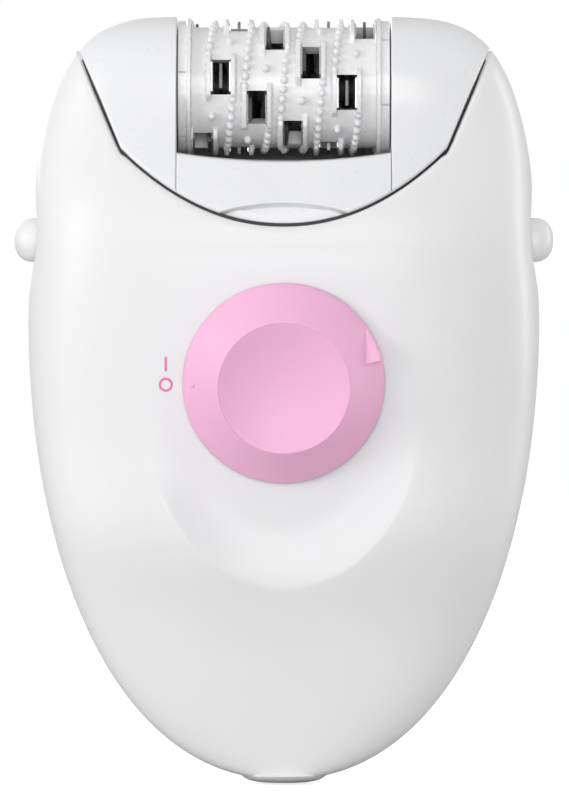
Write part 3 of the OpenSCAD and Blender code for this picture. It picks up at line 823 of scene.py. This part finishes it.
def cover_grid(side):
    """Outer and inner surface of a head cover."""
    share = 1 - (1 - np.linspace(0, 1, 150)) ** 1.4
    start = ARM_X + ARM_GAP
    xs = start + (ear_limit() - start) * share
    curves = np.stack([arm_curve(x, 130) for x in xs], axis=1)
    across = np.broadcast_to(xs, curves.shape[:2])
    grid = np.stack([side * across, curves[..., 0], curves[..., 1]], -1)
    from_edge = (curves[..., 1] - part_line(across)) / np.sqrt(1 + part_slope(across) ** 2)
    round_w = 0.45 * np.clip((ear_limit() - across) / 3, 0.15, 1)
    amount = np.maximum(round_in(from_edge, round_w, round_w), round_in(across - start, 0.2, 0.2))
    outward = grid - np.array([side * 20, 0, 96])
    outer = sink(grid, amount, outward)
    low = part_line(across)
    depth = np.max(np.abs(curves[..., 0]), axis=0, keepdims=True)
    height = np.max(curves[..., 1] - low, axis=0, keepdims=True)
    inner = grid.copy()
    inner[..., 1] *= np.clip(1 - HEAD_WALL / np.maximum(depth, 0.01), 0.3, 1)
    lower_by = np.clip(1 - HEAD_WALL / np.maximum(height, 0.01), 0.3, 1)
    inner[..., 2] = low + (curves[..., 1] - low) * lower_by
    return outer, inner


def build_cover(side, name, node):
    """Cover of one arm, with a floor that leaves out the latch leg."""
    outer, inner = cover_grid(side)
    pieces = [new_piece(name, *shell_from_grids(outer, inner), 40)]
    spans = [(ARM_X + 0.15, 19.7, 6.9 if side < 0 else 0.05), (19.7, 25.3, 0.05), (25.3, 26.7, 3.1),
             (26.7, 28.4, 0.05)]
    for lo, hi, y_in in spans:
        x_lo, x_hi = sorted((side * lo, side * hi))
        for y_side in (-1, 1):
            pieces.append(deck_strip("floor", y_side, -HEAD_WALL, HEAD_WALL - 0.02, x_lo, x_hi, y_in))
    show(join(pieces, name), "head", "white_plastic", head_white, node)


def opening_z(x):
    """Upper edge of the front and rear panels, under the drum."""
    return OPENING_MID_Z + (OPENING_SIDE_Z - OPENING_MID_Z) * (x / ARM_X) ** 2


def notch_depth(x, z):
    """Thumb notch at the lower edge of the front panel, pointed at both ends."""
    arc = 1 - (x / NOTCH_HALF) ** 2
    below = NOTCH_Z + NOTCH_RISE * arc - z
    return 1.15 * smooth_step(below / 0.5) * smooth_step(arc * 6)


def build_panel(side, name, node):
    """Panel between the arms; the front one has the thumb notch."""
    half = ARM_X - ARM_GAP
    x, share = np.meshgrid(np.linspace(-half, half, 401), np.linspace(0, 1, 131))
    low, high = part_line(x), opening_z(x)
    z = low + (high - low) * share
    depth_of = front_d if side < 0 else rear_d
    y = side * depth_of(z) * depth_share(x, z)
    grid = np.stack([x, y, z], -1)
    lip = round_in(high - z, 0.7, 0.6)
    foot = round_in((z - low) / np.sqrt(1 + part_slope(x) ** 2), 0.45, 0.45)
    edge = round_in(half - np.abs(x), 0.2, 0.2)
    amount = np.maximum(np.maximum(lip, foot), edge)
    if side < 0:
        amount = amount + notch_depth(x, z)
    outer = sink(grid, amount, np.broadcast_to(np.array([0, side, 0]), grid.shape))
    inner = grid - np.array([0, side * 2.0, 0])
    panel = new_piece(name, *shell_from_grids(outer, inner), 40)
    floor_half = ARM_X - 0.15
    floor = deck_strip("floor", side, -HEAD_WALL, HEAD_WALL - 0.02, -floor_half, floor_half, 0.05)
    show(join([panel, floor], name), "head", "white_plastic", head_white, node)


def build_drum_shade_liner():
    """Grey trough under the drum and behind it; its grey is painted shade for the hollow inside the
    white head.
    """
    sweep = np.radians(np.linspace(-6, 74, 60))
    path = [(-12.2, 89.7), (-9.0, 90.1)]
    path += [(WELL_R * math.sin(a), DRUM_Z - WELL_R * math.cos(a)) for a in sweep]
    half = ARM_X - 0.06
    upper = np.array([[(x, y, z) for x in (-half, half)] for y, z in path])
    out = grid_normals(upper)
    lower = upper - out * np.sign(out[..., 2:3] + 1e-9) * 0.45
    well = new_piece("drum_shade_liner", *shell_from_grids(upper, lower), 30)
    # painted shade: the trough's grey darkens the hollow under the drum, where there is only shade
    show(well, "head", "dark_plastic", painted_shade_grey)


# ---------------------------------------------------------------- drum
def station_x(i):
    """Place of a window's middle along the drum."""
    return PITCH * (i - (STATIONS - 1) / 2)


def angle_from(angle, centre):
    """Smallest turn from centre to angle, in degrees."""
    return (angle - centre + 180) % 360 - 180


def ridge_height(x, angle, i, end):
    """Raised bars to the left and right of a window."""
    dx = np.abs(x - station_x(i))
    run = np.abs(angle_from(angle, FIRST_ANGLE + TURN_STEP * i + end)) * math.pi / 180 * DRUM_R
    across = smooth_step((WINDOW_W / 2 + 0.95 - dx) / 0.4)
    across = across * smooth_step((dx - WINDOW_W / 2 + 0.15) / 0.2)
    return RIDGE_H * across * smooth_step((WINDOW_H / 2 + 1.3 - run) / 1.5)


def bead_places():
    """A row of beads runs on from each window, and one bead stands between it and the next window."""
    places = []
    for i in range(STATIONS - 1):
        middle = (station_x(i) + station_x(i + 1)) / 2
        for end in (0, 180):
            own = FIRST_ANGLE + TURN_STEP * i + end
            for k in range(BEADS):
                share = k / (BEADS - 1)
                places.append((middle + 0.45 - 0.9 * share, own - 21 - 63 * share))
            places.append((middle, own + TURN_STEP / 2))
    return places


def drum_radius(x, angle):
    """Radius over the bars and beads."""
    rise = np.zeros_like(x)
    for i in range(STATIONS):
        for end in (0, 180):
            rise = np.maximum(rise, ridge_height(x, angle, i, end))
    for place_x, place_angle in bead_places():
        run = angle_from(angle, place_angle) * math.pi / 180 * DRUM_R
        reach = BEAD_R ** 2 - (x - place_x) ** 2 - run ** 2
        rise = np.maximum(rise, np.where(reach > 0, 0.28 + np.sqrt(np.clip(reach, 0, None)), 0))
    return DRUM_R + rise


def around_drum(x, radius, angle):
    """Angle 0 faces the front and 90 is up."""
    a = np.radians(angle)
    return np.stack([x, -radius * np.cos(a), DRUM_Z + radius * np.sin(a)], -1)


def window_cutter(i):
    """Box through both of a station's windows."""
    slot_box = block("window", (-WINDOW_W / 2, -WINDOW_H / 2, -15), (WINDOW_W / 2, WINDOW_H / 2, 15))
    turn = Matrix.Rotation(math.radians(90 - FIRST_ANGLE - TURN_STEP * i), 4, "X")
    place_piece(slot_box, Matrix.Translation((station_x(i), 0, DRUM_Z)) @ turn)
    return slot_box


def build_drum():
    """Hollow drum with bars, beads and windows."""
    columns, rows = 480, 400
    x, angle = np.meshgrid(np.linspace(-DRUM_HALF, DRUM_HALF, rows),
                           np.linspace(0, 360, columns, endpoint=False), indexing="ij")
    outer = around_drum(x, drum_radius(x, angle), angle)
    inner = around_drum(x, np.full_like(x, DRUM_BORE_R), angle)
    size = rows * columns
    points = np.concatenate([outer.reshape(-1, 3), inner.reshape(-1, 3)])
    faces = grid_faces(rows, columns, closed=True)
    faces += [tuple(v + size for v in face[::-1]) for face in faces]
    last = (rows - 1) * columns
    for k in range(columns):
        n = (k + 1) % columns
        faces.append((n, k, k + size, n + size))
        faces.append((last + k, last + n, last + n + size, last + k + size))
    drum = new_piece("drum_body", points, faces, 40)
    cut_away(drum, [window_cutter(i) for i in range(STATIONS)], 32)
    show(drum, "drum", "drum_plastic", drum_white, "drum_shell", "drum_ribs")


def build_drum_core():
    """Spindle and discs between the tweezers, seen through the windows; their near-black grey is painted
    shade for the inside of the drum.
    """
    turn = Matrix.Translation((0, 0, DRUM_Z)) @ Matrix.Rotation(math.pi / 2, 4, "Y")
    outline = [(0, -CORE_HALF), (CORE_R, -CORE_HALF)]
    for i in range(STATIONS - 1):
        middle = (station_x(i) + station_x(i + 1)) / 2
        for radius, place in ((CORE_R, -0.3), (DISC_R, -0.3), (DISC_R, 0.3), (CORE_R, 0.3)):
            outline.append((radius, middle + place))
    outline += [(CORE_R, CORE_HALF), (0, CORE_HALF)]
    show(turned("drum_core", outline, turn, 96), "drum", "dark_plastic", core_shade_grey)


def seam_cutters(side, phase):
    """Six short slots across the step of an end ring."""
    cutters = []
    for k in range(6):
        cutter = block("seam", (14.2, -0.14, 9.25), (16, 0.14, 11))
        if side < 0:
            cutter.data.transform(Matrix.Rotation(math.pi, 4, "Z"))
        turn = Matrix.Rotation(math.radians(90 - phase - 60 * k), 4, "X")
        place_piece(cutter, Matrix.Translation((0, 0, DRUM_Z)) @ turn)
        cutters.append(cutter)
    return cutters


def build_end_rings():
    """Stepped rings at the drum's two ends."""
    loop = [(3.62, 13.42), (9.9, 13.42), (RING_R, 13.5), (RING_R, 13.95), (9.95, 14.1), (9.72, 14.16),
            (9.72, 15.2), (9.6, 15.32), (7.8, 15.32), (7.8, 14.6), (3.62, 14.6)]
    rings = []
    for side, phase in ((-1, 11), (1, 43)):
        place = Matrix.Translation((0, 0, DRUM_Z)) @ Matrix.Rotation(side * math.pi / 2, 4, "Y")
        ring = loop_turned("ring", loop, place, 180)
        cut_away(ring, seam_cutters(side, phase), 35)
        rings.append(ring)
    show(join(rings, "end_rings"), "drum", "drum_plastic", drum_white, "drum_end_rings")


# ---------------------------------------------------------------- buttons
def build_button(side, name, node):
    """Round button with a domed tip, and its stem and flange behind the wall."""
    dome = [(BUTTON_R * math.cos(a) ** 0.8, BUTTON_X - 2.6 + 2.6 * math.sin(a))
            for a in np.linspace(0, math.pi / 2, 20)[:-1]]
    outline = [(0, 28.4), (1.15, 28.4), (1.15, 32.6), (3.6, 32.6), (3.6, 33.6), (BUTTON_R, 33.6)]
    place = Matrix.Translation((0, 0, BUTTON_Z)) @ Matrix.Rotation(side * math.pi / 2, 4, "Y")
    button = turned(name, outline + dome + [(0, BUTTON_X)], place, 96)
    show(button, "button_left" if side < 0 else "button_right", "white_plastic", white, node)


def build_spring(side, name, node):
    """Coil between the guide and the button's flange, drawn at rest with a mesh of its own; the real one
    closes up as the button is pressed.
    """
    ring = 12
    coil_r = 2.0
    wire_r = 0.28
    share = np.linspace(0, 1, 141)[:, None]
    around = 2 * math.pi * SPRING_TURNS * share
    bend = np.linspace(0, 2 * math.pi, ring, endpoint=False)[None, :]
    reach = coil_r + wire_r * np.cos(bend)
    along = SPRING_X + SPRING_LONG * share + wire_r * np.sin(bend)
    grid = np.stack([side * along, reach * np.cos(around), BUTTON_Z + reach * np.sin(around)], -1)
    rows = len(grid)
    caps = [tuple(range(ring)), tuple((rows - 1) * ring + k for k in range(ring - 1, -1, -1))]
    spring = new_piece(name, grid.reshape(-1, 3), grid_faces(rows, ring, closed=True) + caps)
    show(spring, "housing", "pin_steel", pin_steel, node)
    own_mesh(spring)


build_front_casing()
build_rear_casing()
build_gap_shade_strip()
build_marks()
build_knob()
build_cover(-1, "cover_left", "head_cover_left")
build_cover(1, "cover_right", "head_cover_right")
build_panel(-1, "front_panel", "head_front_panel")
build_panel(1, "rear_panel", "head_rear_panel")
build_drum_shade_liner()
build_drum()
build_drum_core()
build_end_rings()
build_socket_collar()
build_button(-1, "button_left", "release_button_left")
build_button(1, "button_right", "release_button_right")
build_spring(-1, "coil_left", "release_spring_left")
build_spring(1, "coil_right", "release_spring_right")


# ---------------------------------------------------------------- stage
WORLD_LEVEL = 0.5
WORLD_SLOPE = (-0.2, 0.0, 0.12)
FLOOR_RETURN = 0.5
FLOOR_HALF = 3000
FLOOR_Z = -0.3
HEIGHT_SEEN = 0.1165
CAMERA_PLACE = (0.0001, -1.0, 0.0556)


def area_light(name, place, target, size, power):
    """Rectangular lamp at a place, turned towards its target; places in metres, power in watts."""
    light = bpy.data.lights.new(name, "AREA")
    light.shape = "RECTANGLE"
    light.size, light.size_y = size
    light.energy = power
    lamp = bpy.data.objects.new(name, light)
    lamp.location = place
    lamp.rotation_euler = (Vector(target) - Vector(place)).to_track_quat("-Z", "Y").to_euler()
    scene.collection.objects.link(lamp)


def build_floor():
    """Floor that reads as white to the camera and sends back half of the light that falls on it."""
    corners = [(-FLOOR_HALF, -FLOOR_HALF), (FLOOR_HALF, -FLOOR_HALF), (FLOOR_HALF, FLOOR_HALF),
               (-FLOOR_HALF, FLOOR_HALF)]
    floor = new_piece("floor", [(x, y, FLOOR_Z) for x, y in corners], [(0, 1, 2, 3)])
    paint, tree_nodes, tree_links, shader = new_material("floor_paint", (0.9, 0.9, 0.9), 0.9)
    rays = tree_nodes.new("ShaderNodeLightPath")
    glow = tree_nodes.new("ShaderNodeMapRange")
    glow.inputs["To Max"].default_value = 0.75
    tree_links.new(rays.outputs["Is Camera Ray"], glow.inputs["Value"])
    tree_links.new(glow.outputs["Result"], shader.inputs["Emission Strength"])
    shader.inputs["Emission Color"].default_value = (1, 1, 1, 1)
    pale = tree_nodes.new("ShaderNodeMix")
    pale.data_type = "RGBA"
    pale.inputs["A"].default_value = (FLOOR_RETURN, FLOOR_RETURN, FLOOR_RETURN, 1)
    pale.inputs["B"].default_value = (0.9, 0.9, 0.9, 1)
    tree_links.new(rays.outputs["Is Camera Ray"], pale.inputs["Factor"])
    tree_links.new(pale.outputs["Result"], shader.inputs["Base Color"])
    floor.data.materials.append(paint)


def build_world():
    """White behind the object; its light is strongest from above and from the left."""
    world = bpy.data.worlds.new("studio")
    world.use_nodes = True
    tree_nodes, tree_links = world.node_tree.nodes, world.node_tree.links
    background = tree_nodes["Background"]
    direction = tree_nodes.new("ShaderNodeTexCoord")
    level = tree_nodes.new("ShaderNodeVectorMath")
    level.operation = "DOT_PRODUCT"
    level.inputs[1].default_value = WORLD_SLOPE
    tree_links.new(direction.outputs["Generated"], level.inputs[0])
    lift = tree_nodes.new("ShaderNodeMath")
    lift.operation = "ADD"
    lift.inputs[1].default_value = WORLD_LEVEL
    tree_links.new(level.outputs["Value"], lift.inputs[0])
    floor_level = tree_nodes.new("ShaderNodeMath")
    floor_level.operation = "MAXIMUM"
    floor_level.inputs[1].default_value = 0.12
    tree_links.new(lift.outputs[0], floor_level.inputs[0])
    rays = tree_nodes.new("ShaderNodeLightPath")
    pick = tree_nodes.new("ShaderNodeMix")
    pick.inputs["B"].default_value = 1.0
    tree_links.new(rays.outputs["Is Camera Ray"], pick.inputs["Factor"])
    tree_links.new(floor_level.outputs[0], pick.inputs["A"])
    tree_links.new(pick.outputs["Result"], background.inputs["Strength"])
    background.inputs["Color"].default_value = (1, 1, 1, 1)
    scene.world = world
    scene.view_settings.view_transform = "Standard"


def build_camera():
    """Long lens straight at the front; the picture takes in HEIGHT_SEEN metres from foot to top."""
    camera = bpy.data.cameras.new("camera")
    camera.sensor_width = 36
    camera.lens = camera.sensor_width * -CAMERA_PLACE[1] / HEIGHT_SEEN
    camera.clip_start, camera.clip_end = 0.05, 10
    eye = bpy.data.objects.new("camera", camera)
    eye.location = CAMERA_PLACE
    eye.rotation_euler = (math.radians(90), 0, 0)
    scene.collection.objects.link(eye)
    scene.camera = eye


dress_cad_nodes()
build_floor()
build_world()
build_camera()
area_light("key", (-0.62, -0.42, 0.05), (0, 0, 0.05), (0.25, 0.7), 2.95)
area_light("front", (0.05, -0.9, 0.25), (0, 0, 0.06), (0.45, 0.3), 1.9)
area_light("low", (0.0, -0.55, 0.012), (0, 0, 0.06), (0.3, 0.012), 0.3)
area_light("back", (-0.35, 0.8, 0.35), (0, 0, 0.06), (0.5, 0.4), 1.4)
area_light("rim", (0.6, 0.12, 0.1), (0, 0, 0.05), (0.15, 0.7), 2.0)
